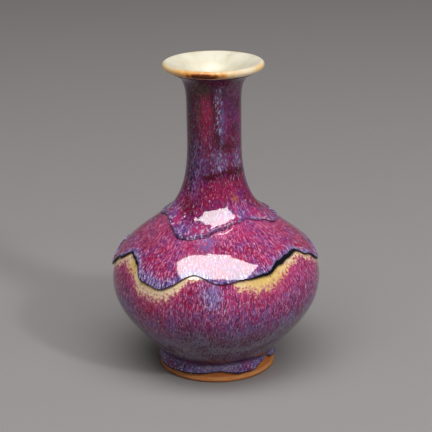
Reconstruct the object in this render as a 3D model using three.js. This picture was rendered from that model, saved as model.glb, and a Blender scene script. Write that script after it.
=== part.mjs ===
// Pear-shaped bottle vase: thrown stoneware under a running flambe glaze.
// Millimetres, +Z up, origin at the middle of the foot. An angle is in degrees round Z:
// 0 is the front (-Y) and 90 the right (+X).

import * as THREE from "three";

// Outer form of the clay
const vaseHeight = 150; // to the top of the glazed lip
const footRadius = 28.2;
const footTopRadius = 26.2;
const footHeight = 8.6;
const creaseFillet = 1.6;
const springLean = 40; // outward lean of the wall above the foot, in degrees
const springReach = 19.3;
const bellyRadius = 48.7;
const bellyHeight = 44.8;
const bellyReachDown = 13.1;
const bellyReachUp = 12.3;
const shoulderRadius = 31.8;
const shoulderHeight = 69.4;
const shoulderLean = 52.9; // inward lean where the shoulder turns into the neck, in degrees
const shoulderReachDown = 11.2;
const shoulderReachUp = 14.4;
const neckRadius = 11.7;
const neckStart = 112;
const neckReachDown = 28;
const lipRadius = 23.7; // over the glaze
const lipLean = 70.7; // outward lean of the lip's underside, in degrees
const flareDepth = 19.1; // lip centre down to the straight neck
const flareReachDown = 12.2;
const flareReachUp = 9.1;

// Walls and foot ring
const bodyWall = 3.8;
const neckWall = 2.9;
const lipWall = 1.4;
const floorHeight = 9;
const floorFlat = 12;
const recessDepth = 4.2;
const recessRadius = 22.4;
const recessFillet = 1.5;
const ringInnerRadius = 23.6;
const ringChamfer = 0.8;

// Luting joints between the thrown sections
const waistSeam = bellyHeight;
const seamRise = 14.5; // from the shoulder up to the joint at the root of the neck
const neckSeam = shoulderHeight + seamRise;
const slipThickness = 0.8;
const seamBevel = 1.4; // how much higher the joint is outside than inside

// Glaze coats
const seat = 0.35; // clearance between a coat and what it lies on
const lowerCoat = 0.9;
const shoulderCoat = 1.1;
const neckCoat = 0.8;
const insideCoat = 0.6;
const baseCoat = 0.6;
const lap = 4; // how far a coat covers the top edge of the one below
const lapFade = 7; // run over which the covered coat thins out
const lapThinning = 0.75;
const lapSkin = 0.5; // least thickness of a coat where it covers another
const seatFade = 3; // run over which a coat comes down off the one below
const neckPool = 1.1; // how much thicker the neck coat pools at the root of the neck
const poolReach = 16; // run over which the pool fades up the neck
const underlipSeam = 20; // radius under the lip where the cream coat meets the neck coat
const coatSpacing = 0.5;

// Wavy lower edges: mean height, bead thickness, and [angle, rise] points set by hand
const ledgeRise = 13.4;
const ledgeHeight = bellyHeight + ledgeRise;
const ledgeBead = { thin: 0.8, thick: 1.3, swing: 4.5 };
const ledgeEdge = [
  [-90, -6], [-66, 4.1], [-57, 2.7], [-45, -3.6], [-32, -4.7], [-13, 2.4], [2, -0.4], [16, 0.6],
  [30, 0.8], [52, 4.6], [66, 4.3], [82, -4], [104, -1], [128, 3.5], [150, -2.5], [172, 1.5],
  [196, -2], [218, 2.5], [242, -2.5], [256, 0.5],
];
const tongueRise = 6;
const tongueHeight = shoulderHeight + tongueRise;
const tongueBead = { thin: 0.5, thick: 0.75, swing: 3.5 };
const tongueEdge = [
  [-100, -1.2], [-70, 2.7], [-58, 1.7], [-38, -2.6], [-24, -3.1], [-12, -2.1], [6, 1.2], [34, 3.6],
  [55, 1.8], [80, -2], [100, -4.2], [124, -1], [150, -3.5], [176, 0.8], [202, -3], [228, 2.2],
];
const poolShare = [[-64, 0], [-32, 1], [8, 1], [46, 0], [118, 0.6], [168, 0], [210, 0.7], [256, 0]];
const footGlazeHeight = 4.4;
const footBead = { thin: 1, thick: 1.5, swing: 2.2 };
const footEdge = [
  [-83, -0.7], [-55, -1.6], [-34, -1], [-17, -0.4], [3, 1.2], [22, -0.8], [36, -0.6], [60, 3.2],
  [78, 0.5], [98, -1.2], [122, 1.4], [146, -1], [166, -0.6], [188, 2.2], [208, -0.8], [232, -1.2],
  [256, 0.8],
];

// Facets
const fullTurn = 360;
const clayColumns = 26;
const bodyCoatColumns = 52;
const neckCoatColumns = 32;
const rowPitch = 7.4; // most run between two level rows
const flarePitch = 4.8;
const wavePitch = 5.6;
const rowMargin = 1; // least run from a row that follows a wave to a level one

const { clamp, degToRad, euclideanModulo, lerp, smoothstep } = THREE.MathUtils;
const vec = (r, z) => new THREE.Vector2(r, z);
const leaning = (degrees) => vec(Math.sin(degToRad(degrees)), Math.cos(degToRad(degrees)));
const reach = (point, direction, length) => point.clone().addScaledVector(direction, length);

// Clay form, from the ground outside up to the lip's underside
const lipHalf = lipWall / 2 + seat + insideCoat;
const lipCentre = vec(lipRadius - lipHalf, vaseHeight - lipHalf);

function clayForm() {
  const up = vec(0, 1);
  const ground = vec(footRadius, 0);
  const crease = vec(footTopRadius, footHeight);
  const spring = leaning(springLean);
  const footTop = reach(crease, ground.clone().sub(crease).normalize(), creaseFillet);
  const bodyStart = reach(crease, spring, creaseFillet);
  const belly = vec(bellyRadius, bellyHeight);
  const shoulder = vec(shoulderRadius, shoulderHeight);
  const slope = leaning(-shoulderLean);
  const neckFoot = vec(neckRadius, neckStart);
  const neckTop = vec(neckRadius, lipCentre.y - flareDepth);
  const underlip = leaning(lipLean);
  const lipEnd = reach(lipCentre, vec(underlip.y, -underlip.x), lipWall / 2);
  const path = new THREE.CurvePath();
  path.add(new THREE.LineCurve(ground, footTop));
  path.add(new THREE.QuadraticBezierCurve(footTop, crease, bodyStart));
  path.add(new THREE.CubicBezierCurve(
    bodyStart, reach(bodyStart, spring, springReach), reach(belly, up, -bellyReachDown), belly,
  ));
  path.add(new THREE.CubicBezierCurve(
    belly, reach(belly, up, bellyReachUp), reach(shoulder, slope, -shoulderReachDown), shoulder,
  ));
  path.add(new THREE.CubicBezierCurve(
    shoulder, reach(shoulder, slope, shoulderReachUp), reach(neckFoot, up, -neckReachDown), neckFoot,
  ));
  path.add(new THREE.LineCurve(neckFoot, neckTop));
  path.add(new THREE.CubicBezierCurve(
    neckTop, reach(neckTop, up, flareReachDown), reach(lipEnd, underlip, -flareReachUp), lipEnd,
  ));
  return path;
}

const form = clayForm();
const formLength = form.getLength();

// Point at a run along the form, moved outward from the clay by an offset
function onForm(run, offset = 0) {
  const share = clamp(run / formLength, 0, 1);
  const point = form.getPoint(share);
  const along = form.getTangent(share);
  return vec(point.x + along.y * offset, point.y - along.x * offset);
}

// Run along the form where a measure that rises with the run reaches a value
function runWhere(measure, value, start = 0) {
  let low = start;
  let high = formLength;
  for (let step = 0; step < 40; step += 1) {
    const middle = (low + high) / 2;
    if (measure(middle) < value) low = middle;
    else high = middle;
  }
  return low;
}

const runAtHeight = (height) => runWhere((run) => onForm(run).y, height);
const springRun = runAtHeight(footHeight + creaseFillet);
const waistRun = runAtHeight(waistSeam);
const neckRun = runAtHeight(neckSeam);
const straightRun = runAtHeight(neckStart);
const flareRun = runAtHeight(lipCentre.y - flareDepth);
const underlipRun = runWhere((run) => onForm(run).x, underlipSeam, flareRun);

function spaced(from, to, count) {
  return Array.from({ length: count + 1 }, (_, step) => lerp(from, to, step / count));
}

// Evenly spaced rows, at most a pitch apart
function pitched(from, to, pitch) {
  const count = Math.ceil((to - from) / pitch);
  return count > 0 ? spaced(from, to, count) : [(from + to) / 2];
}

// Rows shared by the clay, the coat inside it and the neck coat, so that they keep their clearance
const wallRows = [
  ...pitched(springRun, waistRun, rowPitch),
  ...pitched(waistRun, neckRun, rowPitch).slice(1),
  ...pitched(neckRun, straightRun, rowPitch).slice(1),
  ...pitched(flareRun, formLength, flarePitch),
];

// Wall thickness of the clay, which thins up the neck and again to the lip
function wallAt(run) {
  const body = lerp(bodyWall, neckWall, smoothstep(run, waistRun, straightRun));
  return lerp(body, lipWall, smoothstep(run, flareRun, formLength));
}

const inside = (run, coat = 0) => onForm(run, -wallAt(run) - coat);

// Inside floor, flat in the middle and swept up into the wall; coat lifts it off the clay
function floorCurve(coat = 0) {
  const edge = inside(springRun, coat);
  const next = inside(springRun + 1, coat);
  const height = floorHeight + coat;
  const corner = edge.x - ((next.x - edge.x) * (edge.y - height)) / (next.y - edge.y);
  const start = Math.min(floorFlat, corner - 2);
  const curve = new THREE.QuadraticBezierCurve(vec(start, height), vec(corner, height), edge);
  return [vec(0, height), ...curve.getPoints(3)];
}

// Half round of the lip at a radius about its centre, from the inside over to the underside
function lipRound(radius, steps) {
  const start = fullTurn / 2 - lipLean;
  const turns = [start, ...spaced(fullTurn / 4, start - fullTurn / 2, steps - 1)];
  return turns.map((turn) => reach(lipCentre, leaning(fullTurn / 4 - turn), radius));
}

// Revolved solid from a profile that runs anticlockwise in the half-plane
function revolved(profile) {
  const geometry = new THREE.LatheGeometry(profile, clayColumns);
  return geometry.rotateX(Math.PI / 2);
}

// Outside and inside ends of the bevelled joint face at a seam height
function seamFace(height) {
  const within = runWhere((run) => inside(run).y, height - seamBevel, springRun);
  return [onForm(runAtHeight(height)), inside(within)];
}

// Points of the wall between two heights, so that a section stops at its joint face
function between(points, low, high) {
  return points.filter((point) => point.y > low && point.y < high);
}

function lowerBody() {
  const [outsideEnd, insideEnd] = seamFace(waistSeam - slipThickness / 2);
  const wall = wallRows.map((run) => inside(run));
  const outer = [...spaced(ringChamfer, springRun, 4).slice(1, -1), ...wallRows].map((run) => onForm(run));
  return revolved([
    vec(0, recessDepth),
    vec(recessRadius - recessFillet, recessDepth),
    vec(recessRadius, recessDepth - recessFillet),
    vec(ringInnerRadius, ringChamfer),
    vec(ringInnerRadius + ringChamfer, 0),
    vec(footRadius - ringChamfer, 0),
    onForm(ringChamfer),
    ...between(outer, ringChamfer, outsideEnd.y - 1),
    outsideEnd,
    insideEnd,
    ...between(wall, floorHeight, insideEnd.y - 1).reverse(),
    ...floorCurve().slice(0, -1).reverse(),
  ]);
}

function upperBody() {
  const [outsideLow, insideLow] = seamFace(waistSeam + slipThickness / 2);
  const [outsideHigh, insideHigh] = seamFace(neckSeam - slipThickness / 2);
  const outer = wallRows.map((run) => onForm(run));
  const inner = wallRows.map((run) => inside(run));
  return revolved([
    insideLow,
    outsideLow,
    ...between(outer, outsideLow.y + 1, outsideHigh.y - 1),
    outsideHigh,
    insideHigh,
    ...between(inner, insideLow.y + 1, insideHigh.y - 1).reverse(),
    insideLow.clone(),
  ]);
}

function neck() {
  const [outsideLow, insideLow] = seamFace(neckSeam + slipThickness / 2);
  const outer = between(wallRows.map((run) => onForm(run)), outsideLow.y + 1, vaseHeight);
  const inner = between(wallRows.map((run) => inside(run)), insideLow.y + 1, vaseHeight);
  return revolved([
    insideLow,
    outsideLow,
    ...outer,
    ...lipRound(lipWall / 2, 4).slice(1, -1).reverse(),
    ...inner.reverse(),
    insideLow.clone(),
  ]);
}

function lutingSlip(seam) {
  const [outsideLow, insideLow] = seamFace(seam - slipThickness / 2);
  const [outsideHigh, insideHigh] = seamFace(seam + slipThickness / 2);
  return revolved([insideLow, outsideLow, outsideHigh, insideHigh, insideLow.clone()]);
}

// Cream coat: up the inside, over the lip and back to the seam under it
function insideGlaze() {
  const skin = (coat) => [
    ...floorCurve(coat),
    ...wallRows.slice(1, -1).map((run) => inside(run, coat)),
    ...lipRound(lipWall / 2 + coat, 4),
    onForm(underlipRun + coatSpacing, coat),
  ];
  return revolved([...skin(seat), ...skin(seat + insideCoat).reverse()]);
}

// Coat in the recess under the foot, which turns down the inside of the ring
function baseGlaze() {
  const skin = (coat) => [
    vec(0, recessDepth - coat),
    vec(recessRadius - recessFillet - coat / 2, recessDepth - coat),
    vec(recessRadius - coat, recessDepth - recessFillet - coat / 2),
  ];
  return revolved([...skin(seat + baseCoat), ...skin(seat).reverse()]);
}

// Rise of a wavy edge at an angle, eased from each point to the next
function riseAt(edge, angle) {
  const first = edge[0];
  const turned = euclideanModulo(angle - first[0], fullTurn) + first[0];
  const points = [...edge, [first[0] + fullTurn, first[1]]];
  const next = points.findIndex(([at]) => at > turned);
  const [fromAngle, fromRise] = points[next - 1];
  const [toAngle, toRise] = points[next];
  return lerp(fromRise, toRise, smoothstep(turned, fromAngle, toAngle));
}

const ledgeRun = (angle) => runAtHeight(ledgeHeight + riseAt(ledgeEdge, angle));
const tongueRun = (angle) => runAtHeight(tongueHeight + riseAt(tongueEdge, angle));
const footRun = (angle) => runAtHeight(footGlazeHeight + riseAt(footEdge, angle));

// A bead hangs thicker where its edge has run further down
function beadAt(bead, edge, angle) {
  return lerp(bead.thin, bead.thick, smoothstep(-riseAt(edge, angle), -bead.swing, bead.swing));
}

// Thickness of a coat at a run past the edge of the coat that covers its top
function coveredThickness(thickness, past) {
  return thickness * (1 - lapThinning * smoothstep(past, -lapFade, lap / 2));
}

// Underside of a coat at a run past its own edge, over the thickness of the coat it covers
function undersideAt(below, past) {
  const raised = below > 0 ? coveredThickness(below, past) + seat : 0;
  return seat + raised * (1 - smoothstep(past, lap + coatSpacing, lap + seatFade));
}

// One coat's section at an angle, anticlockwise: a rolled bead at the lower edge, an even skin and
// a top edge that thins where the next coat covers it. Only the rows near an edge follow its wave.
function coatSection({
  start, end, thickness, bead, below, covered, levels, underLevels, startRows, endRows, pool = 0,
}) {
  const under = (past) => undersideAt(below, past);
  const top = (past) => {
    const skin = Math.max(seat + thickness, under(past) + lapSkin);
    const pooled = skin + pool * (1 - smoothstep(past, bead * 4, poolReach));
    return lerp(under(0) + bead, pooled, smoothstep(past, bead / 2, bead * 4));
  };
  const thin = (run) => (covered ? thickness - coveredThickness(thickness, run - end + lap) : 0);
  const nose = (degrees) => {
    const turn = degToRad(degrees);
    const past = (bead / 2) * (1 + Math.cos(turn));
    return onForm(start + past, under(0) + (bead / 2) * (1 + Math.sin(turn)));
  };
  const joined = (waved, level) => [
    ...waved.slice(0, -1),
    ...spaced(waved[waved.length - 1], level[0], startRows).slice(0, -1),
    ...level.slice(0, -1),
    ...spaced(level[level.length - 1], end, endRows),
  ];
  const overLap = [start + lap, start + lap + seatFade];
  const outer = joined([start + bead * 2, ...(below > 0 ? overLap : [])], levels)
    .map((run) => onForm(run, top(run - start) - thin(run)));
  const inner = joined([start + bead, ...overLap], underLevels)
    .map((run) => onForm(run, under(run - start)));
  return [nose(180), nose(135), nose(90), ...outer, ...inner.reverse(), nose(225)];
}

// Ring of glaze from a section at each angle
function coatRing(columns, section) {
  const angles = spaced(0, fullTurn, columns).slice(0, -1);
  const sections = angles.map(section);
  const rows = sections[0].length;
  const positions = sections.flatMap((points, column) => {
    const turn = degToRad(angles[column]);
    return points.flatMap((point) => [point.x * Math.sin(turn), -point.x * Math.cos(turn), point.y]);
  });
  const index = [];
  for (let column = 0; column < columns; column += 1) {
    const nextColumn = (column + 1) % columns;
    for (let row = 0; row < rows; row += 1) {
      const nextRow = (row + 1) % rows;
      const corner = column * rows + row;
      const above = column * rows + nextRow;
      const beside = nextColumn * rows + row;
      const across = nextColumn * rows + nextRow;
      index.push(corner, beside, above, above, beside, across);
    }
  }
  const geometry = new THREE.BufferGeometry();
  geometry.setAttribute("position", new THREE.Float32BufferAttribute(positions, 3));
  geometry.setIndex(index);
  geometry.computeVertexNormals();
  return geometry;
}

function lowerGlaze() {
  const high = runAtHeight(ledgeHeight - ledgeBead.swing) - lapFade / 2;
  return coatRing(bodyCoatColumns, (angle) => coatSection({
    start: footRun(angle),
    end: ledgeRun(angle) + lap,
    thickness: lowerCoat,
    bead: beadAt(footBead, footEdge, angle),
    below: 0,
    covered: true,
    levels: [springRun - creaseFillet, ...pitched(springRun + creaseFillet, high, rowPitch)],
    underLevels: pitched(springRun + lap, high, rowPitch),
    startRows: 2,
    endRows: Math.ceil((runAtHeight(ledgeHeight + ledgeBead.swing) + lap - high) / wavePitch),
  }));
}

function shoulderGlaze() {
  const low = runAtHeight(ledgeHeight + ledgeBead.swing) + lap + seatFade + rowMargin;
  const high = runAtHeight(tongueHeight - tongueBead.swing) - rowMargin;
  const levels = pitched(low, high, rowPitch);
  return coatRing(bodyCoatColumns, (angle) => coatSection({
    start: ledgeRun(angle),
    end: tongueRun(angle) + lap,
    thickness: shoulderCoat,
    bead: beadAt(ledgeBead, ledgeEdge, angle),
    below: lowerCoat,
    covered: true,
    levels,
    underLevels: levels,
    startRows: 2,
    endRows: Math.ceil((runAtHeight(tongueHeight + tongueBead.swing) + lap - high) / wavePitch),
  }));
}

function neckGlaze() {
  const low = runAtHeight(tongueHeight + tongueBead.swing) + lap + seatFade + rowMargin;
  const end = underlipRun - coatSpacing;
  const levels = wallRows.filter((run) => run > low && run < end - rowMargin);
  return coatRing(neckCoatColumns, (angle) => coatSection({
    start: tongueRun(angle),
    end,
    thickness: neckCoat,
    bead: beadAt(tongueBead, tongueEdge, angle),
    below: shoulderCoat,
    covered: false,
    levels,
    underLevels: levels,
    startRows: 3,
    endRows: 1,
    pool: neckPool * riseAt(poolShare, angle),
  }));
}

// Materials
function surface(color, roughness) {
  return new THREE.MeshStandardMaterial({ color, roughness, metalness: 0 });
}

const firedClay = surface(0xb4692f, 0.75);
const slipClay = surface(0xa0602f, 0.8);
const plumGlaze = surface(0x8a3158, 0.15);
const roseGlaze = surface(0xa03463, 0.12);
const creamGlaze = surface(0xe0d3b8, 0.2);

const vase = new THREE.Group();

function addPiece(name, geometry, material) {
  const mesh = new THREE.Mesh(geometry, material);
  mesh.name = name;
  vase.add(mesh);
}

addPiece("lower_body", lowerBody(), firedClay);
addPiece("upper_body", upperBody(), firedClay);
addPiece("neck", neck(), firedClay);
addPiece("waist_luting_slip", lutingSlip(waistSeam), slipClay);
addPiece("neck_luting_slip", lutingSlip(neckSeam), slipClay);
addPiece("interior_glaze", insideGlaze(), creamGlaze);
addPiece("base_glaze", baseGlaze(), creamGlaze);
addPiece("lower_glaze", lowerGlaze(), plumGlaze);
addPiece("shoulder_glaze", shoulderGlaze(), roseGlaze);
addPiece("neck_glaze", neckGlaze(), roseGlaze);

export default vase;
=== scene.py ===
import bisect
import math

import bmesh
import bpy
import numpy as np
from mathutils import Matrix, Vector, noise
from mathutils.geometry import interpolate_bezier


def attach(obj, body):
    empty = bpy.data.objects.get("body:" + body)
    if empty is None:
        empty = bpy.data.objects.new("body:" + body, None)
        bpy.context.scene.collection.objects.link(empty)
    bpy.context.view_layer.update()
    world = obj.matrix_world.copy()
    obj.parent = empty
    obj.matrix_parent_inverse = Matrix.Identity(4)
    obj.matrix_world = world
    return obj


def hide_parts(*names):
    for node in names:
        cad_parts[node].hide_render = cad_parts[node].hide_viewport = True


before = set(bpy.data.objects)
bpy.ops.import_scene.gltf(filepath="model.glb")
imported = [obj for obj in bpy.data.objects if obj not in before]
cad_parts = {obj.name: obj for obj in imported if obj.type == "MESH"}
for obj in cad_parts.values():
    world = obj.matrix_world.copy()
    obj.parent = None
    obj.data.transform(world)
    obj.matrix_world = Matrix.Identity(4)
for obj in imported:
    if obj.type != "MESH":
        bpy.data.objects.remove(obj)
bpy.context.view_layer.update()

# Lengths of the vase are in millimetres, angles in degrees: 0 is the front (-Y) and 90 the right (+X).
mm = 0.001


def srgb(red, green, blue):
    levels = [value / 255 for value in (red, green, blue)]
    return tuple(v / 12.92 if v <= 0.04045 else ((v + 0.055) / 1.055) ** 2.4 for v in levels) + (1.0,)


def smoothStep(value, low, high):
    share = np.clip((np.asarray(value, dtype=float) - low) / (high - low), 0, 1)
    return share * share * (3 - 2 * share)


def blend(first, second, share):
    return first + (second - first) * share


# Clay form: the same driving sizes as the solids. lipCoat is the cream coat and its gap at the lip,
# underlipRadius the radius where the neck coat and the cream coat meet.

clayForm = {
    "height": 150.0,
    "footRadius": 28.2, "footTopRadius": 26.2, "footHeight": 8.6, "creaseFillet": 1.6,
    "springLean": 40.0, "springReach": 19.3,
    "bellyRadius": 48.7, "bellyHeight": 44.8, "bellyReachDown": 13.1, "bellyReachUp": 12.3,
    "shoulderRadius": 31.8, "shoulderHeight": 69.4, "shoulderLean": 52.9,
    "shoulderReachDown": 11.2, "shoulderReachUp": 14.4,
    "neckRadius": 11.7, "neckStart": 112.0, "neckReachDown": 28.0,
    "lipRadius": 23.7, "lipLean": 70.7, "flareDepth": 19.1, "flareReachDown": 12.2, "flareReachUp": 9.1,
    "bodyWall": 3.8, "neckWall": 2.9, "lipWall": 1.4, "lipCoat": 0.95, "underlipRadius": 20.0,
    "floorHeight": 9.0, "floorFlat": 12.0,
    "recessDepth": 4.2, "recessRadius": 22.4, "recessFillet": 1.5,
    "ringInnerRadius": 23.6, "ringChamfer": 0.8,
    "waistSeam": 44.8, "slip": 0.8, "seamBevel": 1.4, "insideSeat": 0.35,
}


def leaning(degrees):
    return Vector((math.sin(math.radians(degrees)), math.cos(math.radians(degrees)), 0))


def curveLeg(start, startReach, endReach, end, steps=60):
    return interpolate_bezier(start, start + startReach, end - endReach, end, steps)[:-1]


lipHalf = clayForm["lipWall"] / 2 + clayForm["lipCoat"]
lipCentre = Vector((clayForm["lipRadius"] - lipHalf, clayForm["height"] - lipHalf, 0))


def clayOutline():
    f = clayForm
    up = Vector((0, 1, 0))
    ground = Vector((f["footRadius"], 0, 0))
    crease = Vector((f["footTopRadius"], f["footHeight"], 0))
    spring = leaning(f["springLean"])
    footRise = (crease - ground).normalized()
    footTop = crease - footRise * f["creaseFillet"]
    bodyStart = crease + spring * f["creaseFillet"]
    belly = Vector((f["bellyRadius"], f["bellyHeight"], 0))
    shoulder = Vector((f["shoulderRadius"], f["shoulderHeight"], 0))
    slope = leaning(-f["shoulderLean"])
    neckFoot = Vector((f["neckRadius"], f["neckStart"], 0))
    neckTop = Vector((f["neckRadius"], lipCentre.y - f["flareDepth"], 0))
    underlip = leaning(f["lipLean"])
    lipEnd = lipCentre + Vector((underlip.y, -underlip.x, 0)) * (f["lipWall"] / 2)
    third = (footTop - ground) / 3
    straight = (neckTop - neckFoot) / 3
    fillet = f["creaseFillet"] * 2 / 3
    legs = (
        curveLeg(ground, third, third, footTop, 12)
        + curveLeg(footTop, footRise * fillet, spring * fillet, bodyStart, 24)
        + curveLeg(bodyStart, spring * f["springReach"], up * f["bellyReachDown"], belly)
        + curveLeg(belly, up * f["bellyReachUp"], slope * f["shoulderReachDown"], shoulder)
        + curveLeg(shoulder, slope * f["shoulderReachUp"], up * f["neckReachDown"], neckFoot)
        + curveLeg(neckFoot, straight, straight, neckTop, 12)
        + curveLeg(neckTop, up * f["flareReachDown"], underlip * f["flareReachUp"], lipEnd)
    )
    return np.array([(p.x, p.y) for p in legs + [lipEnd]])


outline = clayOutline()
outlineRun = np.concatenate([[0], np.cumsum(np.hypot(*np.diff(outline, axis=0).T))])
outlineTangent = np.gradient(outline, outlineRun, axis=0)
outlineTangent /= np.hypot(*outlineTangent.T)[:, None]
formLength = float(outlineRun[-1])


def onForm(run, offset=0.0):
    point = [np.interp(run, outlineRun, outline[:, k]) for k in (0, 1)]
    along = [np.interp(run, outlineRun, outlineTangent[:, k]) for k in (0, 1)]
    size = np.hypot(*along)
    return np.stack([point[0] + along[1] / size * offset, point[1] - along[0] / size * offset], axis=-1)


def runAtHeight(height):
    return np.interp(height, outline[:, 1], outlineRun)


springRun = float(runAtHeight(clayForm["footHeight"] + clayForm["creaseFillet"]))
waistRun = float(runAtHeight(clayForm["bellyHeight"]))
straightRun = float(runAtHeight(clayForm["neckStart"]))
flareRun = float(runAtHeight(lipCentre.y - clayForm["flareDepth"]))
flare = outlineRun >= flareRun
underlipRun = float(np.interp(clayForm["underlipRadius"], outline[flare, 0], outlineRun[flare]))


def wallAt(run):
    body = blend(clayForm["bodyWall"], clayForm["neckWall"], smoothStep(run, waistRun, straightRun))
    return blend(body, clayForm["lipWall"], smoothStep(run, flareRun, formLength))


def insideWall(run, coat=0.0):
    return onForm(run, -wallAt(run) - coat)


def lipRound(radius, steps):
    start = 180 - clayForm["lipLean"]
    turns = np.radians(start - np.linspace(0, 180, steps + 1))
    return np.stack([lipCentre.x + radius * np.cos(turns), lipCentre.y + radius * np.sin(turns)], axis=-1)


def floorCurve(coat, steps=10):
    edge = insideWall(springRun, coat)
    after = insideWall(springRun + 1, coat)
    level = clayForm["floorHeight"] + coat
    corner = edge[0] - (after[0] - edge[0]) * (edge[1] - level) / (after[1] - edge[1])
    start = min(clayForm["floorFlat"], corner - 2)
    share = np.linspace(0, 1, steps + 1)[:, None]
    curve = blend(blend(np.array((start, level)), (corner, level), share),
                  blend(np.array((corner, level)), edge, share), share)
    return np.concatenate([[(0, level)], curve])


# Glaze coats: wavy edges, given as (angle, rise) like the solids'. A bead is thin where its edge has
# risen by the swing and thick where it has run down by it.

glazeEdges = {
    "ledge": {"height": 58.2, "thin": 0.4, "thick": 0.9, "swing": 4.5, "ripple": 0.3, "points": (
        (-90, -8), (-76, -1), (-66, 3), (-60, 2.2), (-55, 0.8), (-45, -4.2), (-32, -5.1), (-13, 1.4),
        (2, -1.4), (16, -0.5), (30, -0.2), (42, 2), (52, 3.3), (62, 3.8), (72, 0.4), (84, -5), (104, -1),
        (128, 3.5), (150, -2.5), (172, 1.5), (196, -2), (218, 2.5), (242, -2.5), (256, 0.5))},
    "tongue": {"height": 75.4, "thin": 0.3, "thick": 0.6, "swing": 3.5, "ripple": 0.3, "points": (
        (-100, -1), (-72, 1.4), (-58, 0.3), (-47, -1.9), (-36, -4.1), (-24, -4.4), (-12, -3.4), (6, -0.3),
        (22, 1.4), (38, 2.4), (60, 0), (80, -3.4), (100, -4.2), (124, -1), (150, -3.5), (176, 0.8),
        (202, -3), (228, 2.2))},
    "foot": {"height": 4.4, "thin": 1.1, "thick": 1.7, "swing": 2.2, "ripple": 0.15, "points": (
        (-83, -0.5), (-55, -1.6), (-34, -1.1), (-17, -0.5), (3, 0.8), (22, -0.9), (36, -0.9), (50, 1.3),
        (60, 3.1), (68, 0.7), (78, -0.1), (98, -1.2), (122, 1.4), (146, -1), (166, -0.6), (188, 2.2),
        (208, -0.8), (232, -1.2), (256, 0.8))},
}
coatSizes = {
    "seat": 0.2, "lower": 1.05, "shoulder": 1.25, "neck": 0.95, "inside": 0.6, "base": 0.6, "lap": 4.0,
    "lowerFade": -1.0, "shoulderFade": 1.5, "fadeEnd": 3.0, "lapThinning": 0.75, "lapSkin": 0.45,
    "seatFade": 3.0, "spacing": 0.4, "columns": 384, "topRows": 104, "underRows": 30, "noseRows": 9,
}
seat = coatSizes["seat"]
lap = coatSizes["lap"]


def eased(points, angle):
    # eased from each given point to the next
    first = points[0]
    turned = (angle - first[0]) % 360 + first[0]
    loop = list(points) + [(first[0] + 360, first[1])]
    after = bisect.bisect_right([point[0] for point in loop], turned)
    after = min(after, len(loop) - 1)
    (fromAngle, fromValue), (toAngle, toValue) = loop[after - 1], loop[after]
    return float(blend(fromValue, toValue, smoothStep(turned, fromAngle, toAngle)))


def around(angle, turns, seed):
    # smooth wander that meets itself after a full turn
    turn = math.radians(angle)
    return noise.noise(Vector((math.cos(turn) * turns, math.sin(turn) * turns, seed)))


def edgeRun(edge, angle):
    ripple = edge["ripple"] * (around(angle, 9, 3.7) + 0.6 * around(angle, 26, 8.1))
    return float(runAtHeight(edge["height"] + (eased(edge["points"], angle) + ripple)))


def beadAt(edge, angle):
    rise = eased(edge["points"], angle)
    return float(blend(edge["thin"], edge["thick"], smoothStep(-rise, -edge["swing"], edge["swing"])))


def beadRoll(bead):
    # where the skin turns from the bead to the coat's own thickness
    return bead / 2, bead * 4


def coveredThickness(coat, past):
    covered = smoothStep(past, -coatSizes[coat + "Fade"], coatSizes["fadeEnd"])
    return coatSizes[coat] * (1 - coatSizes["lapThinning"] * covered)


def coveringSeat(coatBelow, past):
    below = coveredThickness(coatBelow, past) + seat
    return seat + below * (1 - smoothStep(past, lap + coatSizes["spacing"], lap + coatSizes["seatFade"]))


def coatSection(coat, start, end, bead, under, covered, relief, roll=None):
    # rows at one angle, anticlockwise: points, distance past the lower edge, and run
    thickness = coatSizes[coat]
    seatStart = float(under(0.0))
    turns = np.radians(np.linspace(-150, -270, coatSizes["noseRows"]))
    nosePast = bead / 2 * (1 + np.cos(turns))
    noseHeight = seatStart + bead / 2 * (1 + np.sin(turns))
    share = np.linspace(0, 1, coatSizes["topRows"] + 1)[1:]
    topPast = bead / 2 + (end - start - bead / 2) * (0.45 * share + 0.55 * share ** 1.8)
    skinLift = np.maximum(seat + thickness, under(topPast) + coatSizes["lapSkin"])
    lift = blend(seatStart + bead, skinLift, smoothStep(topPast, *(roll or beadRoll(bead))))
    if covered:
        lift = lift - thickness + coveredThickness(coat, start + topPast - end + lap)
    lift = lift + relief(topPast)
    underPast = np.linspace(end - start, bead, coatSizes["underRows"])
    past = np.concatenate([nosePast, topPast, underPast])
    offset = np.concatenate([noseHeight, lift, under(underPast)])
    skin = np.concatenate([(turns[0] - turns) * bead / 2 - bead, topPast, underPast * 0 + 50])
    return onForm(start + past, offset), skin, start + past


# Meshes

def ringOfRows(rowCount, columns, closed):
    # a line of vertices spun into a grid; each vertex keeps its row number
    bm = bmesh.new()
    rowLayer = bm.verts.layers.int.new("row")
    line = [bm.verts.new((0.01 + row * 1e-4, 0, row * 1e-4)) for row in range(rowCount)]
    for row, vert in enumerate(line):
        vert[rowLayer] = row
    edges = [bm.edges.new(pair) for pair in zip(line, line[1:])]
    if closed:
        edges.append(bm.edges.new((line[-1], line[0])))
    bmesh.ops.spin(bm, geom=line + edges, cent=(0, 0, 0), axis=(0, 0, 1), dvec=(0, 0, 0),
                   angle=math.tau, steps=columns, use_merge=True, use_normal_flip=False, use_duplicate=False)
    return bm, rowLayer


def addObject(name, data):
    item = bpy.data.objects.new(name, data)
    bpy.context.scene.collection.objects.link(item)
    return item


def addMesh(name, bm, material):
    mesh = bpy.data.meshes.new(name)
    bm.to_mesh(mesh)
    bm.free()
    mesh.materials.append(material)
    return addObject(name, mesh)


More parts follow.
